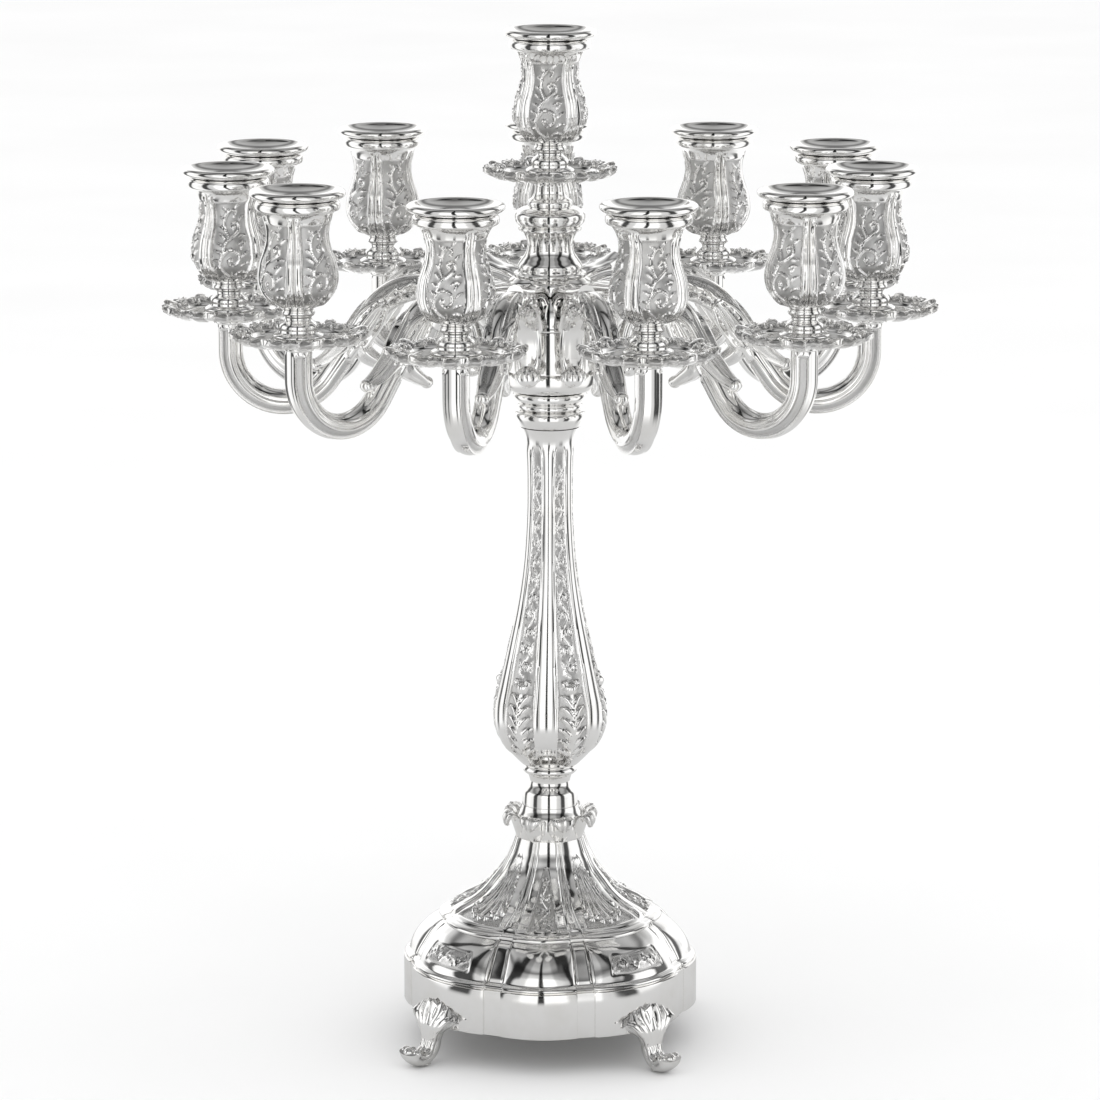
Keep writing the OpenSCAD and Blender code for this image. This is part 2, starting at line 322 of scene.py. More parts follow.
def profile_normals(profile):
    t = np.gradient(profile, axis=0)
    t /= np.maximum(np.hypot(t[:, 0], t[:, 1]), 1e-9)[:, None]
    return np.column_stack([t[:, 1], -t[:, 0]])


def lathe(profile, cols=160, lift=None, ground=None, plan=None, degrees=None):
    """Skin of a turned profile of [radius, height], moved along its normal by lift."""
    p = np.asarray(profile, float)
    angle = np.linspace(0, 360, cols, endpoint=False) if degrees is None else degrees
    a = np.radians(angle)
    r = p[:, 0][:, None] * np.ones_like(a)[None, :]
    z = p[:, 1][:, None] * np.ones_like(a)[None, :]
    if plan is not None:
        r = r * plan
    if lift is not None:
        n = profile_normals(p)
        r = r + lift * n[:, :1]
        z = z + lift * n[:, 1:]
    rings = np.stack([r * np.cos(a), r * np.sin(a), z], axis=2)
    return tube_shell(rings, ground)


def all_round(degrees, times, *grids):
    """One sector's angles and grids, repeated all the way round."""
    angles = np.concatenate([degrees + 360 / times * k for k in range(times)])
    return angles, *[np.tile(g, (1, times)) for g in grids]


def section_grid(across, thick, shape, cols):
    """Rounded sections of a bar: offset in the path's plane and offset across it."""
    psi = np.linspace(0, 2 * math.pi, cols, endpoint=False)
    c, s = np.cos(psi), np.sin(psi)
    u = np.asarray(thick, float)[:, None] * np.sign(c) * np.abs(c) ** (2 / shape)
    v = np.asarray(across, float)[:, None] * np.sign(s) * np.abs(s) ** (2 / shape)
    return u, v


def sweep(path, across, thick, shape=2.4, cols=40, lift=None, ground=None):
    """Bar along a path in the XZ plane; across is its half width along Y."""
    path = np.asarray(path, float)
    t = np.gradient(path, axis=0)
    t /= np.hypot(t[:, 0], t[:, 1])[:, None]
    n = np.column_stack([t[:, 1], -t[:, 0]])
    u, v = section_grid(across, thick, shape, cols)
    if lift is not None:
        size = np.maximum(np.hypot(u, v), 1e-6)
        u, v = u + lift * u / size, v + lift * v / size
    rings = np.stack([path[:, :1] + n[:, :1] * u, v, path[:, 1:2] + n[:, 1:] * u], axis=2)
    return tube_shell(rings, ground)


def side_grid(path, across, thick, shape, cols):
    """For a sweep: distance along it, offset in its own plane, and offset across."""
    u, v = section_grid(across, thick, shape, cols)
    return distance_along(path)[:, None] * np.ones(cols), u, v


# ---------------------------------------------------------------- materials

def node_maths(tree, operation, a, b=0.0):
    n = tree.nodes.new("ShaderNodeMath")
    n.operation = operation
    for k, v in enumerate((a, b)):
        if isinstance(v, (int, float)):
            n.inputs[k].default_value = v
        else:
            tree.links.new(v, n.inputs[k])
    return n.outputs[0]


def grey_stops(tree, source, pairs):
    """Greys at positions from 0 to 1 along a value."""
    n = tree.nodes.new("ShaderNodeValToRGB")
    n.color_ramp.interpolation = "EASE"
    first, last = n.color_ramp.elements
    first.position, last.position = pairs[0][0], pairs[-1][0]
    first.color, last.color = (pairs[0][1],) * 3 + (1,), (pairs[-1][1],) * 3 + (1,)
    for at, value in pairs[1:-1]:
        n.color_ramp.elements.new(at).color = (value,) * 3 + (1,)
    tree.links.new(source, n.inputs["Fac"])
    return n.outputs["Color"]


def blended(tree, share, a, b, how="MIX"):
    """Colour a, with share of colour b."""
    n = tree.nodes.new("ShaderNodeMix")
    n.data_type = "RGBA"
    n.blend_type = how
    for socket, value in ((0, share), (6, a), (7, b)):
        if isinstance(value, (int, float, tuple)):
            n.inputs[socket].default_value = value
        else:
            tree.links.new(value, n.inputs[socket])
    return n.outputs[2]


def mapped(tree, source, low, high, out_low, out_high):
    """The value from low to high drawn out over another range, and clipped to it."""
    n = tree.nodes.new("ShaderNodeMapRange")
    for key, v in (("From Min", low), ("From Max", high), ("To Min", out_low),
                   ("To Max", out_high)):
        n.inputs[key].default_value = v
    tree.links.new(source, n.inputs["Value"])
    return n.outputs["Result"]


def noise_of(tree, coord, scale, detail=2.0):
    """Node of a noise of one scale over the coordinates."""
    n = tree.nodes.new("ShaderNodeTexNoise")
    n.inputs["Scale"].default_value = scale
    n.inputs["Detail"].default_value = detail
    tree.links.new(coord, n.inputs["Vector"])
    return n


def bumped(tree, bsdf, height, strength, distance):
    n = tree.nodes.new("ShaderNodeBump")
    n.inputs["Strength"].default_value = strength
    n.inputs["Distance"].default_value = distance
    tree.links.new(height, n.inputs["Height"])
    tree.links.new(n.outputs["Normal"], bsdf.inputs["Normal"])


def metal(name):
    """A new metallic material: itself, its node tree, its shader and its own coordinates."""
    m = bpy.data.materials.new(name)
    m.use_nodes = True
    bsdf = m.node_tree.nodes["Principled BSDF"]
    bsdf.inputs["Metallic"].default_value = 1.0
    coord = m.node_tree.nodes.new("ShaderNodeTexCoord").outputs["Object"]
    return m, m.node_tree, bsdf, coord


def silver(name, bright=(0.93, 0.925, 0.915), dark=(0.20, 0.198, 0.195), gloss=0.05,
           matting_and_shade_share=0.0, crevice_shade=0.8):
    """Polished silver, duller in its matted grounds, with painted shade that darkens its colour in
    those grounds and in its crevices.
    """
    m, tree, bsdf, coord = metal(name)
    patches = noise_of(tree, coord, 38.0, 4.0)
    patches.inputs["Roughness"].default_value = 0.6
    grain = noise_of(tree, coord, 1700.0)
    grain.inputs["Roughness"].default_value = 0.6
    hand = noise_of(tree, coord, 120.0, 1.0)
    attribute = tree.nodes.new("ShaderNodeAttribute")
    attribute.attribute_name = "ground"
    ground = attribute.outputs["Fac"]
    point = tree.nodes.new("ShaderNodeNewGeometry").outputs["Pointiness"]

    # Painted shade: the colour darkens in crevices, where Pointiness is low
    hollow = mapped(tree, point, 0.47, 0.40, 0.0, crevice_shade)
    edge = mapped(tree, point, 0.53, 0.62, 0.0, 1.0)
    grit = node_maths(tree, "ADD", 0.55, node_maths(tree, "MULTIPLY", grain.outputs["Fac"], 0.5))
    # Matted grounds: real matting makes them rougher and grainy, and their colour is also darkened
    # here as painted shade
    matting_and_shade = node_maths(tree, "MULTIPLY", ground, grit)
    shade = node_maths(tree, "ADD", hollow, node_maths(tree, "MULTIPLY", matting_and_shade, matting_and_shade_share))
    shade = node_maths(tree, "MINIMUM", shade, 1.0)
    worn = mapped(tree, patches.outputs["Fac"], 0.45, 0.7, 0.0, 1.0)
    tone = blended(tree, shade, (*bright, 1.0), (*dark, 1.0))
    tone = blended(tree, worn, tone, (0.93, 0.925, 0.91, 1.0), "MULTIPLY")
    tree.links.new(tone, bsdf.inputs["Base Color"])

    rough = mapped(tree, patches.outputs["Fac"], 0.3, 0.75, gloss, gloss + 0.05)
    for source, share in ((matting_and_shade, 0.30), (edge, 0.05)):
        rough = node_maths(tree, "ADD", rough, node_maths(tree, "MULTIPLY", source, share))
    tree.links.new(rough, bsdf.inputs["Roughness"])

    height = node_maths(tree, "ADD", node_maths(tree, "MULTIPLY", grain.outputs["Fac"], ground),
                        node_maths(tree, "MULTIPLY", hand.outputs["Fac"], 0.12))
    bumped(tree, bsdf, height, 0.35, 0.0004)
    return m


def steel(name):
    """Turned steel with fine rings."""
    m, tree, bsdf, coord = metal(name)
    rings = tree.nodes.new("ShaderNodeTexWave")
    rings.bands_direction = "Z"
    rings.inputs["Scale"].default_value = 900.0
    tree.links.new(coord, rings.inputs["Vector"])
    noise = noise_of(tree, coord, 60.0).outputs["Fac"]
    tone = tree.nodes.new("ShaderNodeValToRGB")
    tone.color_ramp.elements[0].color = (0.38, 0.38, 0.39, 1)
    tone.color_ramp.elements[1].color = (0.62, 0.62, 0.63, 1)
    tree.links.new(noise, tone.inputs["Fac"])
    tree.links.new(tone.outputs["Color"], bsdf.inputs["Base Color"])
    tree.links.new(mapped(tree, noise, 0.0, 1.0, 0.25, 0.45), bsdf.inputs["Roughness"])
    bumped(tree, bsdf, rings.outputs["Fac"], 0.3, 0.0002)
    return m


POLISHED = silver("polished_silver", gloss=0.035, crevice_shade=0.55)
CHASED = silver("chased_silver", gloss=0.06, matting_and_shade_share=0.55, crevice_shade=0.95)
CAST = silver("cast_silver", gloss=0.05, matting_and_shade_share=0.5, crevice_shade=0.9)
STEEL = steel("turned_steel")


# ---------------------------------------------------------------- base

BAND_LOW, BAND_HIGH = low_mm("base_band"), high_mm("base_band")
BAND_BORE = 76.0
CREST, CHASED_CREST, VALLEY = 87.0, 87.5, 84.0
PLAIN_HALF, CHASED_HALF = 15.5, 22.5
STRAP_AT = 0.5 * (PLAIN_HALF + 45 - CHASED_HALF)
MEAN_R = 87.0


def lobe_outline(offset, crest, half):
    """Radius of a lobe's arc at a number of degrees from its middle."""
    chord = VALLEY * math.sin(math.radians(half))
    rise = crest - VALLEY * math.cos(math.radians(half))
    own = (chord ** 2 + rise ** 2) / (2 * rise)
    out = crest - own
    a = np.radians(offset)
    return out * np.cos(a) + np.sqrt(np.maximum(own ** 2 - (out * np.sin(a)) ** 2, 0))


def plan_radius(t):
    """Radius of the base's plan, t degrees from a plain lobe's middle (0 to 45)."""
    plain = lobe_outline(t, CREST, PLAIN_HALF) + 0.5 * ramp(t, 8, PLAIN_HALF)
    chased = lobe_outline(45 - t, CHASED_CREST, CHASED_HALF) + 1.1 * ramp(45 - t, 10, CHASED_HALF)
    middle, half = STRAP_AT, 0.5 * (45 - CHASED_HALF - PLAIN_HALF)
    flat = VALLEY * math.cos(math.radians(half)) / np.cos(np.radians(t - middle))
    return np.where(t < PLAIN_HALF, plain, np.where(t > 45 - CHASED_HALF, chased, flat))


def base_degrees():
    """Angles round the base, closer together at the facets' edges."""
    octave = np.concatenate([np.linspace(0, 14.8, 25), [15.3, 15.5, 15.7],
                             np.linspace(16.2, 21.8, 10), [22.3, 22.5, 22.7],
                             np.linspace(23.3, 45, 36)])
    quarter = np.concatenate([octave, 90 - octave[-2:0:-1]])
    return np.concatenate([quarter + 90 * k for k in range(4)])


BASE_DEG = base_degrees()
QUARTER = np.mod(BASE_DEG, 90)
FOLD = np.minimum(QUARTER, 90 - QUARTER)


def base_rings(radius, heights):
    """Rings of points at the base's own angles."""
    a = np.radians(BASE_DEG)
    r = np.asarray(radius, float) * np.ones_like(a)
    z = np.asarray(heights, float) * np.ones_like(a)
    return np.stack([r * np.cos(a), r * np.sin(a), z], axis=2)


def base_band():
    """The upright band: lobed outside with softened edges, round inside."""
    low, high = BAND_LOW, BAND_HIGH
    outer = rounded([[-4, low], [0, low], [0, high], [-3.2, high + 0.35], [-5, high + 0.35]], 0.7)
    outside = base_rings(plan_radius(FOLD)[None, :] + outer[:, :1], outer[:, 1:])
    inside = np.array([[BAND_BORE, high], [BAND_BORE, 0.5 * (low + high)], [BAND_BORE, low]])
    return loop_shell(np.vstack([outside, base_rings(inside[:, :1], inside[:, 1:])]))


DOME = [[84.6, 48.6], [85.0, 49.8], [86.2, 50.2], [86.5, 51.2], [85.6, 52.2], [84.0, 52.7],
        [83.4, 54.2], [82.4, 57.5], [80.4, 61.6], [77.2, 65.9], [72.4, 70.4], [66.6, 73.9]]
STEP = [[66.0, 74.1], [66.2, 75.2], [65.4, 76.4], [63.0, 77.2], [61.4, 77.6], [61.0, 78.4]]
TRUMPET = [[60.4, 78.8], [58.0, 80.0], [55.0, 81.8], [50.5, 84.0], [46.0, 86.4], [41.6, 89.5],
           [37.6, 93.2], [34.4, 97.0], [31.0, 100.8], [28.2, 104.2], [25.9, 107.8],
           [24.0, 111.7], [22.2, 115.4], [20.9, 119.0], [19.7, 122.6]]

# Inside of the shell as [radius, height over the band], down from the nut's seat
HOLLOW = [[2.0, 60], [18, 60], [23, 55], [28.5, 48], [35, 41], [40, 37], [48.5, 33], [54, 29],
          [60, 24.5], [67, 20.5], [73, 15], [76, 9], [77, 0]]


def shell_profile():
    line = np.vstack([smooth_line(DOME, 4), smooth_line(STEP, 4), smooth_line(TRUMPET, 4)])
    return even_line(line, 0.8)


def trumpet_ornament():
    """Scrolls of the pointed panels, in mm across and mm up the trumpet."""
    def half(y):
        return 8.2 * max(0.08, 1 - y / 47)
    out = vine(4.5, 42, half, 9.0, 0.9)
    for side in (-1, 1):
        out.append(stroke(spiral(side * 4.6, 5.0, 2.6, 90, side * 1.1), 0.5, 0.6, 0.4, 0.9))
    return out


def palmette():
    """Long leaves that fan down over a chased lobe and end in curled tips."""
    out = []
    for x in (-15.5, -10.4, -5.2, 0, 5.2, 10.4, 15.5):
        foot = 8.5 + 0.030 * x * x
        line = smooth_line([[0.13 * x, 52], [0.30 * x, 38], [0.62 * x, 22], [x, foot]], 5)
        out.append(stroke(line, 0.7, 1.25, 2.3, 1.7))
        out.append(ball(x * 1.02, foot - 0.4, 1.9, 2.4))
        if x:
            curl = spiral(x * 1.16, foot + 2.2, 1.9, 200 if x > 0 else -20,
                          -0.9 if x > 0 else 0.9)
            out.append(stroke(curl, 0.55, 0.75, 0.6, 2.4))
    for side in (-1, 1):
        for j in range(5):
            y = 16 + 6 * j
            out.append(stroke(hook(side * (13.8 - 2.5 * j), y, 90 - side * 42, 5.6 - 0.5 * j,
                                   side * 75), 0.5, 1.1, 0.7, 1.9))
    return out


def dome_scrolls():
    """Running scroll of the framed panels on the chased lobes."""
    wave = [[x, 11 + 2.2 * math.sin(x / 2.45)] for x in np.arange(-18, 18.5, 1.2)]
    out = [stroke(wave, 0.7, 0.75, 0.7, 0.5)]
    for side in (-1, 1):
        for k, x in enumerate((3.8, 11.5)):
            up = side * (-1) ** k
            out.append(stroke(spiral(side * x, 11 + 0.9 * up, 3.1, 90 * up, side * up * 0.95, 0.2),
                              0.75, 0.8, 0.6, 0.6))
            out.append(stroke(hook(side * (x + 3.0), 11 - 2.4 * up, -90 * up, 3.0, 60 * side),
                              0.6, 0.9, 0.4, 0.5))
    return out


def base_shell():
    """Lobed dome, step moulding and trumpet with its straps, panels and palmettes."""
    prof = shell_profile()
    r0, z0 = prof[:, 0], prof[:, 1]
    s = distance_along(prof)
    ratio = plan_radius(FOLD)[None, :] / MEAN_R
    swell = 1 + 1.3 * peak(z0 - 63, 9)
    fade = np.interp(z0, [48, 52, 74, 78, 90, 110], [1, 1, 0.95, 0.8, 0.35, 0])
    plan = 1 + (ratio - 1) * (swell * fade)[:, None]
    deg = np.mod(BASE_DEG + 45, 90) - 45
    chased = np.mod(BASE_DEG, 90) - 45
    r = r0[:, None]
    x_plain = r * np.radians(deg)[None, :]
    x_chased = r * np.radians(chased)[None, :]
    foot = np.interp(78.2, z0, s)
    y = (s - foot)[:, None] * np.ones_like(deg)
    up = ramp(y, 0.5, 2.5)
    lift = np.zeros(y.shape)
    ground = np.zeros(y.shape)

    strap = np.abs(np.abs(deg)[None, :] - STRAP_AT) * np.pi / 180 * r
    strap_half = np.interp(y[:, 0], [0, 20, 62], [4.2, 3.1, 2.1])[:, None]
    ridge = np.sqrt(np.clip(1 - (strap / strap_half) ** 2, 0, 1))
    groove = peak(strap, 0.22 * strap_half)
    lift += up * (1.5 * ridge - 0.9 * groove * ramp(y, 6, 14))

    half = np.interp(y[:, 0], [0, 47, 48], [9.4, 0.9, 0.01])[:, None]
    panel = (np.abs(x_plain) < half) & (y > 2.2) & (y < 47)
    rim = peak(np.abs(x_plain) - half, 0.45) * (y > 2) * (y < 47.5)
    rim = np.maximum(rim, peak(y - 2.2, 0.45) * (np.abs(x_plain) < half + 0.4))
    scroll = raise_strokes(x_plain, y, trumpet_ornament()) * panel
    lift += 0.4 * rim + np.where(panel, scroll - 0.25, 0)
    ground += panel * bare(scroll, 0.25)

    field_half = np.interp(y[:, 0], [0, 20, 50, 56], [21.5, 11.0, 3.4, 0.5])[:, None]
    field = inside_band(x_chased / field_half, 1.0, 0.10)
    field = field * ramp(y, 2.5, 4.5) * (1 - ramp(y, 50, 56))
    leaves = raise_strokes(x_chased, y, palmette())
    lift += -1.1 * field + leaves * (field > 0)
    ground += 0.8 * field * bare(leaves, 0.7)

    dome_y = (s - np.interp(52.7, z0, s))[:, None] * np.ones_like(deg)
    strap_deg = np.abs(np.abs(deg) - STRAP_AT)[None, :]
    seam = peak(strap_deg - 3.5, 0.32)
    on_dome = ramp(z0, 52.5, 54.5)[:, None] * (1 - ramp(z0, 72.5, 74))[:, None]
    lift += on_dome * (0.7 * (strap_deg < 3.5) - 0.7 * seam)
    frame_x = 20.5 - 0.28 * dome_y
    in_frame = inside_band(x_chased / frame_x, 1.0, 0.05) * inside_band(dome_y - 11.1, 5.5, 1.0)
    line = peak(np.abs(x_chased) - frame_x, 0.7) * inside_band(dome_y - 11.1, 6.4, 0.8)
    for level in (5.4, 16.8):
        line = np.maximum(line, peak(dome_y - level, 0.7)
                          * inside_band(x_chased / frame_x, 1.03, 0.03))
    scroll = raise_strokes(x_chased, dome_y, dome_scrolls()) * in_frame
    lift += scroll - 0.45 * line
    # The sunk frame lines join the matted ground here, so the material darkens them with painted
    # shade as well
    ground += 0.7 * in_frame * bare(scroll, 0.4) + 0.5 * line

    n = profile_normals(prof)
    outside = base_rings(r * plan + lift * n[:, :1], z0[:, None] + lift * n[:, 1:])
    hollow = np.asarray(HOLLOW)
    inside = base_rings(hollow[:, :1], BAND_HIGH + hollow[:, 1:])
    ground = np.vstack([np.zeros((len(hollow), len(deg))), np.clip(ground, 0, 1)])
    return tube_shell(np.vstack([inside, outside]), ground)


LEAF_PITCH = 5.8


def one_foot():
    """Leaf crown against the band, ribbed leg and a toe rolled outwards."""
    leg = smooth_line([[86.2, 36.4], [87.6, 33.0], [89.2, 28.6], [90.4, 24.0], [90.2, 18.5],
                       [90.4, 13.0], [92.8, 7.6], [97.2, 4.3], [102.4, 4.2], [106.6, 6.8],
                       [108.4, 10.2]], 8)
    path = even_line(leg, 0.6)
    s = distance_along(path)
    share = s / s[-1]
    across = np.interp(share, [0, 0.10, 0.22, 0.34, 0.45, 0.70, 0.84, 0.93, 1],
                       [19, 21.5, 17.5, 9.5, 6.2, 5.6, 6.4, 7.6, 7.4])
    thick = np.interp(share, [0, 0.12, 0.3, 0.5, 0.85, 1], [1.4, 2.0, 3.0, 4.0, 3.6, 3.2])
    cols = 144
    sg, u, v = side_grid(path, across, thick, 2.2, cols)
    strokes = []
    for x in np.arange(-3, 4) * LEAF_PITCH:
        top = 1.6 + 0.010 * x * x
        strokes.append(stroke(smooth_line([[x, top], [0.86 * x, 6], [0.56 * x, 12], [0.30 * x, 18],
                                           [0.22 * x, 26], [0.24 * x, 34]], 5),
                              2.5, 1.7, 0.7, 2.3))
    for x in (-3.7, 0, 3.7):
        strokes.append(stroke([[x, 22], [x, 40], [1.2 * x, 56]], 1.1, 1.5, 1.7, 2.0))
    outer = ramp(-u / thick[:, None], 0.0, 0.45)
    lift = raise_strokes(v, sg, strokes) * outer
    ground = outer * bare(lift, 0.9) * 0.9
    crown = sweep(path, across, thick, 2.2, cols, lift, ground)
    y = crown.verts[:, 1]
    scallop = 2.0 * np.abs(np.cos(math.pi * y / LEAF_PITCH)) - 0.021 * y ** 2
    near_top = np.clip((crown.verts[:, 2] - 28) / 9, 0, 1)
    crown.verts[:, 2] += near_top * (scallop - 0.6)
    toes = []
    for y, r in ((-5.4, 2.6), (0, 3.3), (5.4, 2.6)):
        toes.append(moved(ball_shell(r), 107.8 - 0.06 * y * y, y, 9.6))
    pad = sweep([[94.2, 1.1], [97, 0.9], [100, 1.1]], [3.2, 4.2, 3.2], [1.0, 0.9, 1.0], 2.4, 24)
    return joined([crown, pad] + toes)


def ball_shell(r, rows=14, cols=24, squash=1.0):
    a = np.linspace(-80, 80, rows)
    prof = np.column_stack([r * np.cos(np.radians(a)), squash * r * np.sin(np.radians(a))])
    return lathe(prof, cols)


def feet():
    foot = one_foot()
    return joined([turned_copy(foot, 45 + 90 * k) for k in range(4)])


# ---------------------------------------------------------------- stem

def turned_profile(parts, spacing=0.7, corner=0.3):
    """One even profile from several curved parts and the steps between them."""
    line = np.vstack([smooth_line(p, 6) if len(p) > 2 else np.asarray(p, float) for p in parts])
    return even_line(rounded(line, corner), spacing)


def closed_ends(profile, bore=2.0):
    """The profile with its end faces drawn in towards the axis."""
    p = np.asarray(profile, float)
    return np.vstack([[[bore, p[0, 1]], [0.5 * (bore + p[0, 0]), p[0, 1]]], p,
                      [[0.5 * (bore + p[-1, 0]), p[-1, 1]], [bore, p[-1, 1]]]])


def turned(parts, z, spacing=0.7, bore=2.0, cols=160):
    """A turned piece from the parts of its outline, given as [radius, height over z]."""
    lifted = [[[r, h + z] for r, h in part] for part in parts]
    return lathe(closed_ends(turned_profile(lifted, spacing), bore), cols)


def leaf_collar():
    z = low_mm("leaf_collar")
    core = [[19.6, 0], [20.4, 3], [20.6, 8], [19.6, 13], [17.4, 17], [16.6, 19.4]]
    shells = [turned([core], z, 0.8, cols=96)]
    path = even_line(smooth_line([[18.2, z - 1.2], [19.6, z + 3.2], [21.4, z + 9.0],
                                  [23.2, z + 13.4], [25.6, z + 15.2], [27.2, z + 13.2],
                                  [27.2, z + 10.2], [26.0, z + 8.0]], 6), 0.5)
    s = distance_along(path)
    share = s / s[-1]
    across = np.interp(share, [0, 0.08, 0.25, 0.55, 0.8, 0.93, 1],
                       [1.5, 4.6, 6.8, 7.9, 6.6, 3.6, 1.2])
    thick = np.interp(share, [0, 0.5, 1], [1.5, 1.5, 0.9])
    sg, u, v = side_grid(path, across, thick, 2.1, 40)
    strokes = [stroke([[0, 2], [0, s[-1] - 1]], 1.0, 0.9, 0.5, 0.9)]
    for side in (-1, 1):
        strokes.append(stroke(smooth_line([[side * 2.4, 1], [side * 4.8, 9], [side * 5.0, 17],
                                           [side * 2.4, s[-1] - 2.4]], 5), 1.2, 1.5, 0.7, 1.0))
        strokes.append(stroke([[side * 1.9, 3], [side * 2.7, 10], [side * 1.8, 19]],
                              0.7, 0.8, 0.4, 0.7))
    outer = u < 0
    lift = raise_strokes(v, sg, strokes) * outer
    ground = outer * bare(lift, 0.4) * 0.9
    leaf = sweep(path, across, thick, 2.1, 40, lift, ground)
    bend = np.hypot(leaf.verts[:, 0], leaf.verts[:, 1]) - leaf.verts[:, 0]
    leaf.verts[:, 0] -= bend
    for k in range(8):
        shells.append(turned_copy(leaf, 45 * k + 22.5))
    return joined(shells)


def lower_knop():
    parts = [[[16.4, 0], [16.3, 2.2], [15.8, 7.2], [14.4, 9.6], [12.3, 12.4], [11.9, 14.6],
              [12.8, 17.6]], [[13.2, 18.4], [15.2, 19.6], [16.2, 21.4], [15.4, 23.2],
                              [14.6, 24.2]]]
    return turned(parts, low_mm("lower_knop"), cols=128)


BALUSTER = [[15.8, 0], [20.4, 0.022], [27, 0.058], [31, 0.094], [32.9, 0.133], [32.6, 0.19],
            [30, 0.249], [24.4, 0.368], [19.1, 0.487], [15.5, 0.606], [13.7, 0.73],
            [13.4, 0.825], [13.7, 0.91], [14.9, 0.963], [17.8, 1]]
STEM_SECTORS = 6


def baluster_ornament():
    """A standing acanthus leaf with a curled tip, and a vine over it."""
    out = []
    for k in range(6):
        y = 10 + 7.2 * k
        reach = 9.4 - 0.85 * k
        for side in (-1, 1):
            out.append(stroke(hook(side * 0.6, y, 90 - side * 14, reach + 5, -side * 62),
                              1.1, 1.9, 0.7, 1.6))
            out.append(stroke(hook(side * 1.4, y + 1.8, 90 - side * 50, reach, side * 55),
                              0.6, 1.2, 0.4, 1.1))
    out.append(stroke([[0, 7], [0, 56]], 1.3, 1.2, 0.9, 1.8))
    out.append(ball(0, 57.5, 3.0, 3.2))
    for side in (-1, 1):
        out.append(stroke(spiral(side * 3.3, 60.5, 2.4, 240 if side > 0 else -60,
                                 side * 1.0), 0.8, 0.9, 0.6, 1.7))
    out += vine(64, 188, lambda y: np.interp(y, [64, 110, 188], [5.8, 4.2, 3.2]), 10.5, 0.75)
    return out


def baluster():
    z = low_mm("baluster")
    tall = high_mm("baluster") - z
    prof = even_line(smooth_line([[r, z + h * tall] for r, h in BALUSTER], 8), 0.85)
    cols_sector = 44
    deg = np.linspace(-30, 30, cols_sector, endpoint=False)
    s = distance_along(prof)
    r = prof[:, :1]
    y = s[:, None] * np.ones_like(deg)
    share = ((prof[:, 1] - z) / tall)[:, None]
    strap_half = np.interp(share, [0, 0.13, 0.5, 0.9, 1], [12.5, 12, 14.5, 17.5, 20])
    ends = ramp(share, 0.035, 0.06) * (1 - ramp(share, 0.925, 0.955))
    off = (np.abs(deg)[None, :] - strap_half) * np.pi / 180 * r
    panel = ramp(off, 0.0, 0.9) * ends
    crown = np.sqrt(np.clip(1 - (np.abs(deg)[None, :] / (strap_half * 0.72)) ** 2, 0, 1))
    lift = -1.0 * panel + 0.9 * crown * ends
    lift += 0.35 * peak(off + 0.7, 0.45) * ends
    panel_deg = np.mod(deg + 60, 60) - 30
    x = r * np.radians(panel_deg)[None, :]
    edge = (30 - strap_half) * np.pi / 180 * r
    relief = raise_strokes(x, y, baluster_ornament()) * (np.abs(x) < edge)
    lift += relief * panel
    ground = panel * bare(relief, 0.35)
    degrees, lift, ground = all_round(deg - 90, STEM_SECTORS, lift, ground)
    return lathe(prof, lift=lift, ground=ground, degrees=degrees)


def stem_collar():
    z = low_mm("stem_collar")
    parts = [[[17.0, 0], [18.6, 1.2], [20.4, 4.6], [21.0, 7.2], [20.0, 9.4], [17.6, 10.2]],
             [[17.0, 10.6], [18.8, 11.2], [19.4, 12.6], [18.6, 14.2], [17.0, 14.8]],
             [[17.4, 15.2], [20.6, 16.0], [22.0, 18.2], [21.8, 20.0], [20.6, 20.9]]]
    ring = turned(parts, z, 0.5)
    sleeve_top = high_mm("stem_collar")
    sleeve = lathe(closed_ends(even_line([[6.9, z + 18], [6.9, sleeve_top]], 4)), 64)
    return joined([ring, sleeve])


def finial():
    parts = [[[20.8, 0], [23.2, 0.8], [24.6, 3.6], [24.2, 6.8], [21.4, 9.2]],
             [[20.6, 9.6], [21.0, 10.4], [20.8, 11.8], [18.8, 12.2]],
             [[18.6, 12.6], [18.6, 16.2], [16.4, 19.8], [14.1, 23.3], [13.1, 27.4], [13.8, 31.2],
              [15.4, 34.2], [17.0, 35.8]],
             [[17.4, 36.2], [18.4, 36.8], [18.4, 38.2], [17.4, 38.8]],
             [[17.8, 39.2], [19.6, 40.6], [20.6, 43.6], [20.0, 46.6], [17.0, 49.0], [14.0, 50.0]],
             [[12.8, 50.6], [13.2, 51.6], [12.8, 53.4], [11.2, 54.6]],
             [[10.6, 55.2], [9.2, 58], [8.8, 61.4], [9.6, 64], [11.4, 66]]]
    return turned(parts, low_mm("finial"), 0.5)


# ---------------------------------------------------------------- hub

def hub_bowl():
    parts = [[[21.8, 0], [24.0, 0.2], [26.2, 1.0], [28.6, 4.0], [29.6, 8.0], [29.6, 11.0],
              [29.0, 11.6]]]
    return turned(parts, low_mm("hub_bowl"), 0.6, 8)


def hub_drum():
    low, tall = low_mm("hub_drum"), high_mm("hub_drum") - low_mm("hub_drum")
    parts = [[[28.0, 0], [28.5, 0.5]], [[28.5, tall - 0.5], [28.0, tall]]]
    return turned(parts, low, 1.0, 8)


def hub_cap():
    parts = [[[28.4, 0], [28.9, 0.8], [28.4, 1.8]],
             [[28.2, 2.2], [27.6, 6.3], [25.8, 11.4], [23.6, 15.4], [22.4, 17.4], [21.8, 18.3]]]
    return turned(parts, low_mm("hub_cap"), 0.6, 8)


# ---------------------------------------------------------------- arms

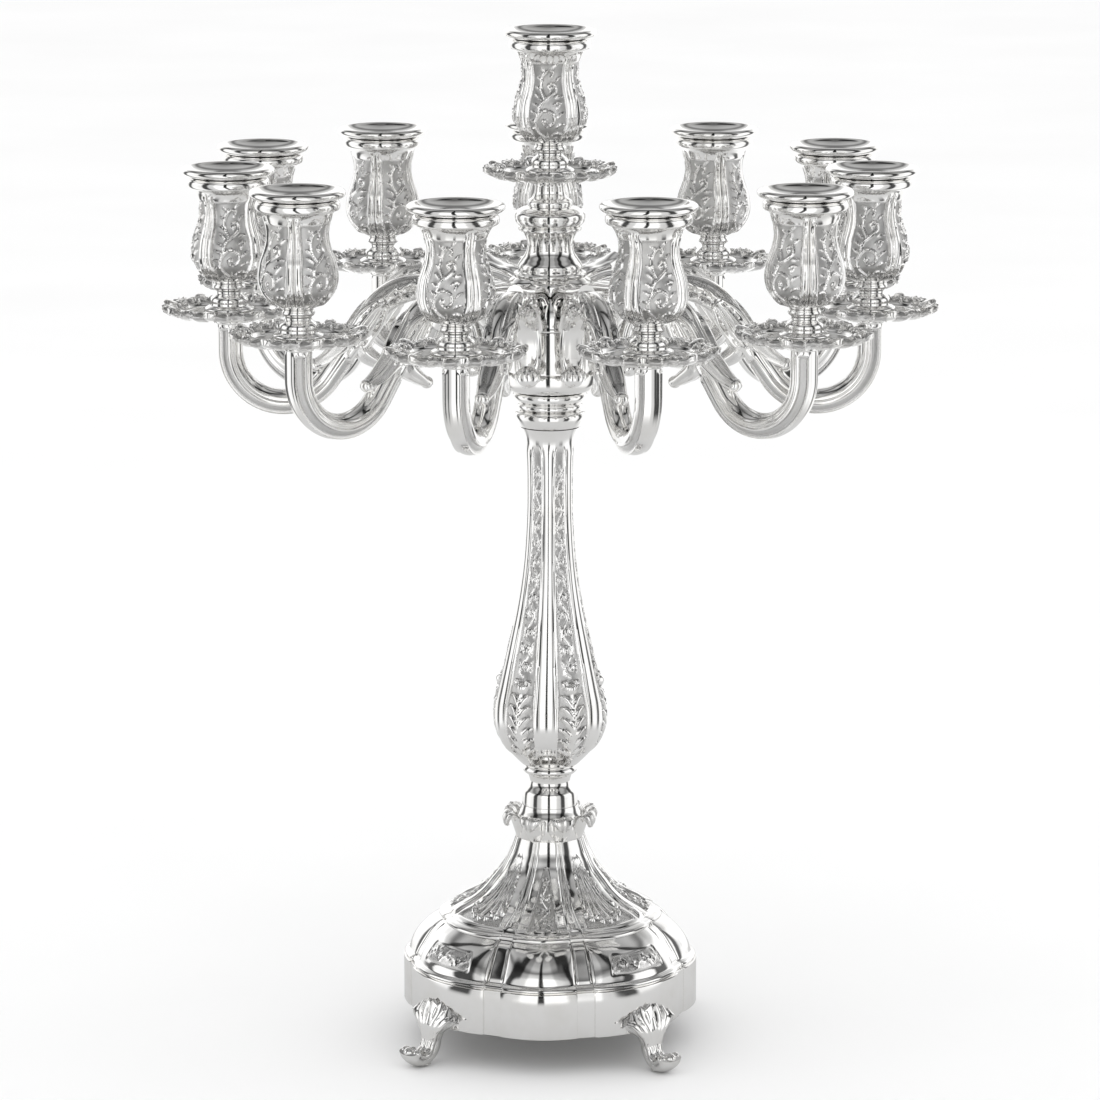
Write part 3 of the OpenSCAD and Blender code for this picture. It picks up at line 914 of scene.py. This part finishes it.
RING_R = 186.0
PAN_LOW = low_mm("pan_03")
ARCH, ARCH_R = np.array([76.0, PAN_LOW - 18.5]), 33.0
BEND, BEND_R = np.array([155.0, PAN_LOW - 19.5]), 31.0
SLOPE = math.degrees(math.asin((ARCH_R + BEND_R) / np.hypot(*(BEND - ARCH)))) \
    - math.degrees(math.atan2(BEND[1] - ARCH[1], BEND[0] - ARCH[0]))


def around(centre, r, start, end, n=40):
    a = np.radians(np.linspace(start, end, n))
    return np.column_stack([centre[0] + r * np.cos(a), centre[1] + r * np.sin(a)])


def arm_path():
    """Inner leg, arch, slope, bend and riser on one line."""
    arch = around(ARCH, ARCH_R, 205, 90 - SLOPE, 90)
    bend = around(BEND, BEND_R, 270 - SLOPE, 360, 70)
    return even_line(np.vstack([arch, bend, [[RING_R, PAN_LOW + 0.4]]]), 0.72)


SLOT_TURN = 57.0


def arm_relief(s, u, v, psi, total):
    """Acanthus on the arch's sides, slots down the bend, and a leaf at the joint."""
    side = []
    for k in range(6):
        at = 34 + 9.0 * k
        side.append(stroke(hook(at, -4.4, 30, 12.5, -58), 0.9, 2.1, 0.6, 1.7))
        side.append(stroke(hook(at + 4, 4.6, -24, 9.5, 50), 0.8, 1.6, 0.5, 1.4))
    side.append(stroke([[28, 0], [60, -0.6], [96, 0.4]], 1.1, 1.3, 0.7, 1.2))
    for k in range(4):
        off = -5.7 + 3.8 * k
        side.append(stroke(smooth_line([[90, 0.5 * off], [103, off], [115, 1.0 * off],
                                        [124 - 2.0 * k, 0.8 * off]], 4), 1.2, 2.2, 0.8, 2.3))
    flank = np.abs(v) > 0.42 * np.abs(v).max()
    lift = raise_strokes(s, u, side) * flank
    leafy = flank & (s > 30) & (s < 112)
    gap = leafy * bare(lift, 0.5)
    lift -= 0.7 * gap
    turn = np.abs(np.degrees(np.arctan2(np.sin(psi), np.cos(psi))))
    off = (turn - SLOT_TURN) * math.pi / 180 * 7.4
    run = ramp(s, 128, 131) * (1 - ramp(s, total - 8.5, total - 6))
    slot = inside_band(off, 2.7, 0.6) * run
    lip = peak(np.abs(off) - 3.3, 0.55) * ramp(s, 125, 129) \
        * (1 - ramp(s, total - 7, total - 5))
    lift += -1.5 * slot + 0.55 * lip
    # Ground: the matted gaps between the leaves and the sunk slots, which the material darkens
    # with painted shade
    return lift, np.clip(np.maximum(0.8 * gap, slot), 0, 1)


def arm_body():
    path = arm_path()
    s = distance_along(path)
    total = s[-1]
    across = np.interp(s, [0, 10, 40, 70, 110, 135, total], [5.6, 7.4, 8.0, 7.6, 7.2, 7.3, 7.4])
    thick = np.interp(s, [0, 10, 30, 52, 80, 110, 135, total],
                      [2.2, 2.4, 3.4, 6.6, 8.0, 7.4, 7.4, 7.4])
    cols, shape = 64, 2.15
    sg, u, v = side_grid(path, across, thick, shape, cols)
    psi = np.linspace(0, 2 * math.pi, cols, endpoint=False) * np.ones_like(sg)
    lift, ground = arm_relief(sg, u, v, psi, total)
    inner = (u > 0.3 * thick[:, None]) | (u < -0.3 * thick[:, None])
    rims = peak(np.abs(v) - 4.9, 1.1) * inner
    lift = lift + 0.9 * rims * (1 - ramp(sg, 112, 124)) * ramp(sg, 6, 14)
    return sweep(path, across, thick, shape, cols, lift, ground)


def scroll_end(centre, r):
    """Rolled end of the inner leg: a plump ball with a short roll across it."""
    top = moved(ball_shell(r, 20, 40, 0.94), centre[0], 0, centre[1])
    prof = rounded([[0.4, -7.4], [2.4, -7.3], [3.0, -6.2], [3.4, -4.0], [3.4, 4.0], [3.0, 6.2],
                    [2.4, 7.3], [0.4, 7.4]], 0.5)
    roll = lathe(even_line(prof, 0.5), 32)
    x, y, z = roll.verts.T
    return [top, Shell(np.column_stack([x + centre[0], z, centre[1] - y]), roll.quads, roll.tris)]


def leafy_spur(points, widths, knob_r, leaf_h=1.0):
    """Tapered spur with ridges along it and a round end."""
    path = even_line(smooth_line(points, 6), 0.55)
    share = np.linspace(0, 1, len(path))
    across = np.interp(share, np.linspace(0, 1, len(widths)), widths)
    thick = 0.8 * across
    sg, u, v = side_grid(path, across, thick, 2.2, 36)
    ang = np.arctan2(v / across[:, None], u / thick[:, None])
    swell = np.sin(np.pi * np.clip(share, 0, 0.9))[:, None]
    lift = leaf_h * (0.5 + 0.5 * np.cos(5 * ang)) * swell
    # Ground in the grooves between the ridges: the material darkens it with painted shade
    ground = 0.7 * (0.5 - 0.5 * np.cos(5 * ang)) * np.ones_like(sg)
    end = path[-1]
    tip = moved(ball_shell(knob_r, squash=0.92), end[0], 0, end[1])
    return [sweep(path, across, thick, 2.2, 36, lift, ground), tip]


def arm_tongue():
    """Flat tongue from the hub cap out on to the arch."""
    path = even_line(smooth_line([[20.5, PAN_LOW + 8.0], [28.0, PAN_LOW + 12.6],
                                  [38.0, PAN_LOW + 15.6], [50.0, PAN_LOW + 16.2],
                                  [62.0, PAN_LOW + 17.5], [72.0, PAN_LOW + 19.5]], 6), 0.8)
    share = np.linspace(0, 1, len(path))
    across = np.interp(share, [0, 0.3, 0.7, 1], [6.0, 7.2, 7.4, 5.0])
    thick = np.interp(share, [0, 0.5, 1], [4.4, 4.0, 4.6])
    sg, _, v = side_grid(path, across, thick, 3.2, 40)
    lift = 0.6 * peak(v, 1.5) - 0.5 * peak(np.abs(v) - 4.2, 0.8)
    return sweep(path, across, thick, 3.2, 40, lift * np.ones_like(sg))


def riser_collar():
    """Small turned ring between the riser and its drip pan."""
    parts = [[[7.0, -4.2], [8.0, -3.8], [8.7, -2.8], [8.2, -1.9]],
             [[8.4, -1.6], [10.6, -1.1], [11.4, -0.4], [10.6, 0.2]]]
    return moved(turned(parts, PAN_LOW, 0.5, cols=64), x=RING_R)


def arm():
    exit_at = around(ARCH, ARCH_R, 90 - SLOPE, 90 - SLOPE, 1)[0]
    tip = around(ARCH, ARCH_R, 205, 205, 1)[0]
    shells = [arm_body(), arm_tongue(), riser_collar()] + scroll_end(tip, 6.8)
    shells += leafy_spur([exit_at + [8, -14], exit_at + [6, -23], exit_at + [-3, -29.5],
                          exit_at + [-9.5, -33]], [7.0, 6.4, 4.8, 3.7], 3.9)
    shells += leafy_spur([exit_at + [8, -12], exit_at + [17, -19], exit_at + [26, -26],
                          exit_at + [34, -30]], [7.2, 7.0, 5.6, 4.0], 4.3)
    return joined(shells)


# ---------------------------------------------------------------- lights

def pan():
    """Drip pan: a plain dished well inside a border of scrolls and shells."""
    under = [[8.6, 0], [14, 0.15], [20, 0.6], [26.5, 0.9], [31, 1.6], [35, 2.9], [37.6, 4.2]]
    edge = [[38.3, 4.9], [38.2, 5.8], [37.4, 6.2]]
    upper = [[35.4, 6.1], [32.0, 5.2], [29.0, 4.6], [27.2, 4.4], [26.4, 3.5], [25.0, 2.4],
             [21, 1.9], [17, 2.1], [14.6, 2.7]]
    prof = np.vstack([smooth_line(under, 5), smooth_line(edge, 3), smooth_line(upper, 5)])
    prof = even_line(prof, 0.65)
    repeats, per = 8, 34
    deg = np.linspace(0, 360 / repeats, per, endpoint=False)
    mid = deg - 0.5 * 360 / repeats
    r = prof[:, :1]
    x = r * np.radians(mid)[None, :]
    s = distance_along(prof)
    rim_s = s[np.argmax(prof[:, 0])]
    top = ((s > rim_s) * 1.0)[:, None]
    y = np.where(top > 0, rim_s - s[:, None], s[:, None] - rim_s) * np.ones_like(mid) + 12.0
    strokes = []
    for side in (-1, 1):
        strokes.append(stroke(spiral(side * 7.4, 5.2, 4.0, 250 if side > 0 else -70,
                                     -side * 1.15), 0.95, 1.15, 0.8, 1.7))
        strokes.append(stroke(spiral(side * 12.6, 7.8, 2.3, 90, side * 1.0), 0.7, 0.8, 0.6, 1.4))
        for j in range(3):
            strokes.append(stroke(hook(side * (9.5 + 1.5 * j), 8.0 - 1.6 * j, 90 - side * 38, 3.6,
                                       side * 50), 0.6, 0.8, 0.4, 1.3))
    for j in range(-2, 3):
        strokes.append(stroke([[0.25 * j, 2.8], [1.1 * j, 11.4 - 0.35 * abs(j)]],
                              0.5, 0.85, 1.0, 1.7))
    relief = raise_strokes(x, y, strokes)
    border = ramp(r, 26.6, 27.6)
    lift = relief * border * np.where(top > 0, 1.0, 0.45)
    ground = border * bare(relief, 0.5)
    scallop = 1.0 * np.abs(np.cos(np.radians(mid) * 4 * 2)) + 0.6 * np.cos(np.radians(mid) * 8 * 3)
    plan = 1 + ramp(r, 31, 38) * (scallop[None, :] - 0.9) / 38
    degrees, lift, ground, plan = all_round(deg, repeats, lift, ground, plan)
    shell = lathe(prof, lift=lift, ground=ground, plan=plan, degrees=degrees)
    radius = np.hypot(shell.verts[:, 0], shell.verts[:, 1])
    around_deg = np.degrees(np.arctan2(shell.verts[:, 1], shell.verts[:, 0]))
    wave = 0.6 * np.cos(np.radians(16 * around_deg))
    shell.verts[:, 2] += np.clip((radius - 30) / 8, 0, 1) * wave
    return shell


CUP_FOOT = [[13.5, 0], [14.3, 0.8], [14.2, 2.6], [12.2, 3.8], [11.0, 4.6], [10.8, 7.6], [9.6, 9.4],
            [7.6, 11.0], [7.4, 12.6], [8.8, 13.6], [9.4, 14.8], [9.0, 16.0], [8.4, 16.8]]
CUP_BOWL = [[8.8, 17.4], [12.2, 19.2], [15.8, 21.8], [19.4, 26.4], [21.2, 31], [21.6, 36],
            [20.6, 42.6], [19, 47.2], [17.5, 51.8], [16.6, 56.4], [16.5, 60], [17.4, 65.4],
            [19, 69.2], [20.6, 71.4]]
CUP_LIP = [[21.0, 71.8], [23.2, 72.6], [23.9, 74.2], [23.7, 76.2], [22.8, 77.4], [21.6, 78.2]]


def cup_ornament():
    """Scrolls and leaves of one cup panel, in mm across and mm up from the cup's foot."""
    stems = ([[1.5, 20.5], [-5.6, 26], [-6.8, 32.5], [-2.4, 38.6], [3.4, 37], [3.8, 31.6],
              [-0.4, 29.4], [-2.6, 32.6]],
             [[-5.6, 35.5], [-3.6, 42.5], [1.2, 46.6], [4.9, 50.2], [3.4, 54], [0.4, 52.6],
              [1.4, 50.2]],
             [[-1.2, 45], [-3.7, 51], [-3.2, 57], [0.2, 61.2], [3.0, 59.8], [2.0, 57.4]])
    out = [stroke(smooth_line(line, 5), 0.7, 0.8, 0.5, 1.15) for line in stems]
    out += [ball(-1.3, 32.6, 1.4, 1.2), ball(1.6, 51.6, 1.0, 1.1), ball(2.0, 57.6, 0.9, 1.0)]
    leaves = ((-6.8, 28, 165, 4.0), (-7.6, 32, 150, 4.4), (-7.0, 36, 130, 4.8),
              (-5.6, 40, 125, 5.0), (-4.6, 45, 120, 4.6), (-4.6, 50, 125, 3.8),
              (-3.8, 55, 120, 3.8), (-2.2, 60, 120, 3.6), (3.2, 62, 60, 3.6), (4.2, 42, 35, 5.4),
              (5.6, 46.4, 25, 4.2), (5.4, 55, 60, 4.4), (4.6, 25, 10, 5.4), (6.4, 29, 40, 5.6),
              (7.2, 34.5, 60, 5.4), (6.4, 39, 75, 4.6), (2.0, 22, -5, 4.4), (-2.2, 22.6, 175, 4.2))
    for x, y, angle, length in leaves:
        out.append(stroke(hook(x * 0.86, y, angle, length, 52 if x < 0 else -52),
                          0.45, 0.8, 0.3, 0.85))
    for k in range(5):
        out.append(stroke(hook(0.5 * (k - 2), 20.0, 90 - 26 * (k - 2), 5.0, -12 * (k - 2)),
                          0.5, 0.9, 0.4, 0.9))
    return out


def cup():
    """Tulip cup: four chased panels between pairs of plain straps."""
    bowl = even_line(smooth_line(CUP_BOWL, 6), 0.62)
    foot = even_line(rounded(smooth_line(CUP_FOOT, 4), 0.2), 0.8)
    lip = even_line(rounded(smooth_line(CUP_LIP, 4), 0.2), 0.7)
    prof = np.vstack([foot, bowl, lip])
    per = 56
    deg = np.linspace(-45, 45, per, endpoint=False)
    r, h = prof[:, :1], prof[:, 1:]
    x = r * np.radians(deg)[None, :]
    y = h * np.ones_like(deg)
    on = ramp(h, 18.2, 21) * (1 - ramp(h, 67.5, 71))
    half = np.interp(h, [18, 22, 30, 40, 52, 62, 68], [18, 27, 32, 32.5, 31.5, 33, 34])
    off = (np.abs(deg)[None, :] - half) * np.pi / 180 * r
    ends = ramp(h, 20.5, 22.5) * (1 - ramp(h, 64.2, 65.6))
    panel = (1 - ramp(off, -0.8, 0.0)) * ends
    mid = 0.5 * (half + 45)
    width = 0.5 * (45 - half) * np.pi / 180 * r
    across = (np.abs(deg)[None, :] - mid) * np.pi / 180 * r
    strap = np.sqrt(np.clip(1 - (across / np.maximum(width, 0.1)) ** 2, 0, 1)) * (off > -0.2)
    strap = strap - 0.55 * peak(across, 0.17 * width)
    relief = raise_strokes(x, y, cup_ornament()) * panel
    lobe = 0.9 * np.cos(np.radians(deg) * 2)[None, :]
    lift = on * (1.5 * strap - 0.5 + 0.6 * lobe) - 0.7 * panel + relief
    ground = panel * bare(relief, 0.4)
    degrees, lift, ground = all_round(deg, 4, lift, ground)
    return lathe(closed_ends(prof, 3.2), lift=np.pad(lift, ((2, 2), (0, 0))),
                 ground=np.pad(ground, ((2, 2), (0, 0))), degrees=degrees)


def nozzle():
    """Rolled flange over a straight candle socket, heights from the pan's underside."""
    outer = [[12.9, 44.4], [12.9, 81.0]]
    flange = [[21.5, 81.3], [25.0, 81.9], [26.9, 83.5], [27.0, 84.8], [26.2, 86.0], [24.9, 86.5],
              [23.4, 86.1], [21.6, 84.6], [18.2, 83.0], [13.6, 81.6], [12.0, 80.8], [11.3, 79.6]]
    inner = [[11.25, 46.4]]
    prof = np.vstack([outer, smooth_line(flange, 6), inner])
    return lathe(closed_ends(even_line(rounded(prof, 0.3), 0.9), 0.4), 112)


# ---------------------------------------------------------------- assembly

def arm_degrees(node):
    lo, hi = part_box(node)
    return math.degrees(math.atan2(lo.y + hi.y, lo.x + hi.x))


def build_stand():
    for name, shell, material, slot in (
            ("base_band", base_band(), POLISHED, "chased_silver"),
            ("base_shell", base_shell(), CHASED, "chased_silver"),
            ("feet", feet(), CAST, "chased_silver"),
            ("leaf_collar", leaf_collar(), CAST, "chased_silver"),
            ("lower_knop", lower_knop(), POLISHED, "polished_silver"),
            ("baluster", baluster(), CHASED, "polished_silver"),
            ("stem_collar", stem_collar(), POLISHED, "polished_silver"),
            ("finial", finial(), POLISHED, "polished_silver")):
        place("v_" + name, mesh_of(name, shell, material), "stand", [name])


def build_hub():
    for name, shell in (("hub_bowl", hub_bowl()), ("hub_drum", hub_drum()),
                        ("hub_cap", hub_cap())):
        place("v_" + name, mesh_of(name, shell, POLISHED), "branch_ring", [name])


def build_lights():
    arm_mesh = mesh_of("arm", arm(), CAST)
    pan_mesh = mesh_of("pan", pan(), CHASED)
    cup_mesh = mesh_of("cup", cup(), CHASED)
    nozzle_mesh = mesh_of("nozzle", nozzle(), POLISHED)
    tags = sorted(n[4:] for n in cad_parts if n.startswith("pan_"))
    for tag in tags:
        centre = tag == "centre"
        turn = -90.0 if centre else arm_degrees("pan_" + tag)
        body = "stand" if centre else "branch_ring"
        reach = 0.0 if centre else RING_R
        a = math.radians(turn)
        at = (reach * math.cos(a), reach * math.sin(a), low_mm("pan_" + tag))
        if not centre:
            place("v_arm_" + tag, arm_mesh, body, ["arm_" + tag], turn)
        place("v_pan_" + tag, pan_mesh, body, ["pan_" + tag], turn, at)
        up = (at[0], at[1], low_mm("cup_" + tag))
        place("v_cup_" + tag, cup_mesh, body, ["cup_" + tag], turn, up)
        place("v_nozzle_" + tag, nozzle_mesh, "nozzle_body_" + tag, ["nozzle_" + tag],
              turn, at)


def dress_frame():
    for name in ("tie_rod", "rod_nut"):
        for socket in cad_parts[name].material_slots:
            socket.material = STEEL


# ---------------------------------------------------------------- studio

# The studio's walls by azimuth: 0 straight ahead of the front, 1 straight behind
WALLS = ((0.0, 0.02), (0.020, 0.02), (0.030, 1.05), (0.15, 1.10), (0.20, 0.65), (0.26, 0.60),
         (0.30, 0.05), (0.36, 0.06), (0.40, 0.90), (0.52, 1.05), (0.59, 0.95), (0.63, 0.10),
         (0.68, 0.12), (0.72, 0.95), (0.88, 1.05), (1.0, 0.90))
# The same studio by height: 0 straight down, 1 straight up
LEVELS = ((0.0, 0.90), (0.46, 0.90), (0.52, 1.1), (0.70, 1.1), (0.76, 0.60), (0.82, 0.18),
          (0.88, 0.45), (0.94, 0.35), (1.0, 0.12))


def azimuth_share(tree, split):
    """0 straight ahead of the front to 1 straight behind, the same on both sides."""
    angle = node_maths(tree, "ARCTAN2", node_maths(tree, "ABSOLUTE", split.outputs["X"]),
                       node_maths(tree, "MULTIPLY", split.outputs["Y"], -1.0))
    return node_maths(tree, "DIVIDE", angle, math.pi)


def studio_world():
    """White studio with dark flags, so that polished silver shows narrow dark lines."""
    world = bpy.data.worlds.new("studio")
    bpy.context.scene.world = world
    world.use_nodes = True
    tree = world.node_tree
    tree.nodes.clear()
    split = tree.nodes.new("ShaderNodeSeparateXYZ")
    tree.links.new(tree.nodes.new("ShaderNodeTexCoord").outputs["Generated"], split.inputs[0])
    walls = grey_stops(tree, azimuth_share(tree, split), WALLS)
    height = node_maths(tree, "MULTIPLY", node_maths(tree, "ADD", split.outputs["Z"], 1.0), 0.5)
    studio = blended(tree, 1.0, walls, grey_stops(tree, height, LEVELS), "MULTIPLY")
    # Only reflections see the flags: the floor gets an even white light
    glossy = tree.nodes.new("ShaderNodeLightPath").outputs["Is Glossy Ray"]
    back = tree.nodes.new("ShaderNodeBackground")
    tree.links.new(blended(tree, glossy, (1.0, 1.0, 1.0, 1.0), studio), back.inputs["Color"])
    back.inputs["Strength"].default_value = 1.08
    out = tree.nodes.new("ShaderNodeOutputWorld")
    tree.links.new(back.outputs[0], out.inputs["Surface"])


def studio_floor():
    mesh = bpy.data.meshes.new("floor")
    far = 9.0
    mesh.from_pydata([(-far, -far, 0), (far, -far, 0), (far, far, 0), (-far, far, 0)], [],
                     [(0, 1, 2, 3)])
    floor = linked("floor", mesh)
    floor.location.z = -0.0002
    m = bpy.data.materials.new("pale_floor")
    m.use_nodes = True
    tree = m.node_tree
    bsdf = tree.nodes["Principled BSDF"]
    bsdf.inputs["Roughness"].default_value = 0.9
    bsdf.inputs["Specular IOR Level"].default_value = 0.1
    coord = tree.nodes.new("ShaderNodeTexCoord").outputs["Object"]
    noise = noise_of(tree, coord, 3.0).outputs["Fac"]
    tint = grey_stops(tree, noise, ((0.0, 0.90), (1.0, 0.94)))
    # Painted reflection: for reflections only, the floor's colour shows a light grey sheet under
    # the object and the studio's flags beyond it
    split = tree.nodes.new("ShaderNodeSeparateXYZ")
    tree.links.new(coord, split.inputs[0])
    far = grey_stops(tree, azimuth_share(tree, split), WALLS)
    away = tree.nodes.new("ShaderNodeVectorMath")
    away.operation = "LENGTH"
    tree.links.new(coord, away.inputs[0])
    beyond = grey_stops(tree, node_maths(tree, "MULTIPLY", away.outputs["Value"], 0.5),
                        ((0.0, 0.0), (0.20, 0.0), (0.40, 1.0), (1.0, 1.0)))
    shown = blended(tree, beyond, (0.62, 0.62, 0.62, 1.0), far)
    glossy = tree.nodes.new("ShaderNodeLightPath").outputs["Is Glossy Ray"]
    tree.links.new(blended(tree, glossy, tint, shown), bsdf.inputs["Base Color"])
    mesh.materials.append(m)


def softbox(name, at, aim, size, power):
    light = bpy.data.lights.new(name, "AREA")
    light.shape = "RECTANGLE"
    light.size, light.size_y = size
    light.energy = power
    o = linked(name, light)
    o.location = at
    o.visible_glossy = False
    from_aim = o.location - type(o.location)(aim)
    o.rotation_euler = from_aim.to_track_quat("Z", "Y").to_euler()
    return o


def camera():
    cam = bpy.data.cameras.new("camera")
    cam.lens, cam.sensor_width = 166.05, 36.0
    cam.clip_end = 50
    o = linked("camera", cam)
    turn, distance, height, down = math.radians(4.6), 2.9067, 0.9034, 11.83
    o.location = (distance * math.sin(turn), -distance * math.cos(turn), height)
    o.rotation_euler = (math.radians(90 - down), 0, turn)
    bpy.context.scene.camera = o


build_stand()
build_hub()
build_lights()
dress_frame()
studio_world()
studio_floor()
softbox("overhead", (0.2, -0.5, 2.6), (0, 0, 0.3), (2.2, 2.2), 6)
camera()
bpy.context.scene.view_settings.view_transform = "Standard"
